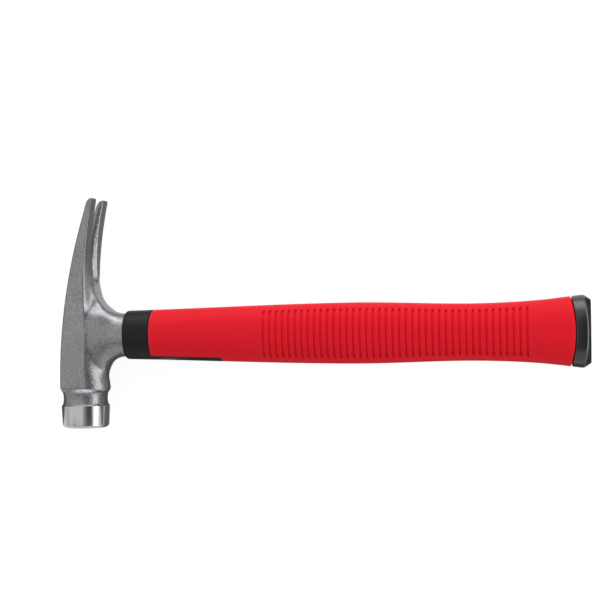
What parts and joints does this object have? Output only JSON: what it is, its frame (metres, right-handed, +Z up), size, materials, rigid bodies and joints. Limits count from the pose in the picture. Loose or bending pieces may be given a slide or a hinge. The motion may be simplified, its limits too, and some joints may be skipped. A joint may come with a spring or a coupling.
{
  "type": "electrician hammer",
  "caption": "Hand hammer with a round polished striking face, a straight split claw for pulling nails and a ribbed soft grip with a hard collar and butt cap.",
  "frame": {"origin": "bottom centre of the bounding box, with the hammer lying on its side", "axes": "+X along the handle from head to butt, +Y along the head from striking face to claw, +Z up through the thickness"},
  "size_m": [0.3196, 0.14, 0.0293],
  "materials": {
    "forged_steel": "blasted forging with a polished striking band",
    "black_plastic": "satin moulded",
    "red_rubber": "satin soft moulded",
    "fibreglass": "cut pultruded rod",
    "resin": "cast"
  },
  "bodies": {
    "root": {"head": "forged_steel", "handle_core": "fibreglass", "eye_bond": "resin", "handle_sleeve": "black_plastic", "soft_grip": "red_rubber", "butt_cap": "black_plastic"}
  },
  "joints": []
}
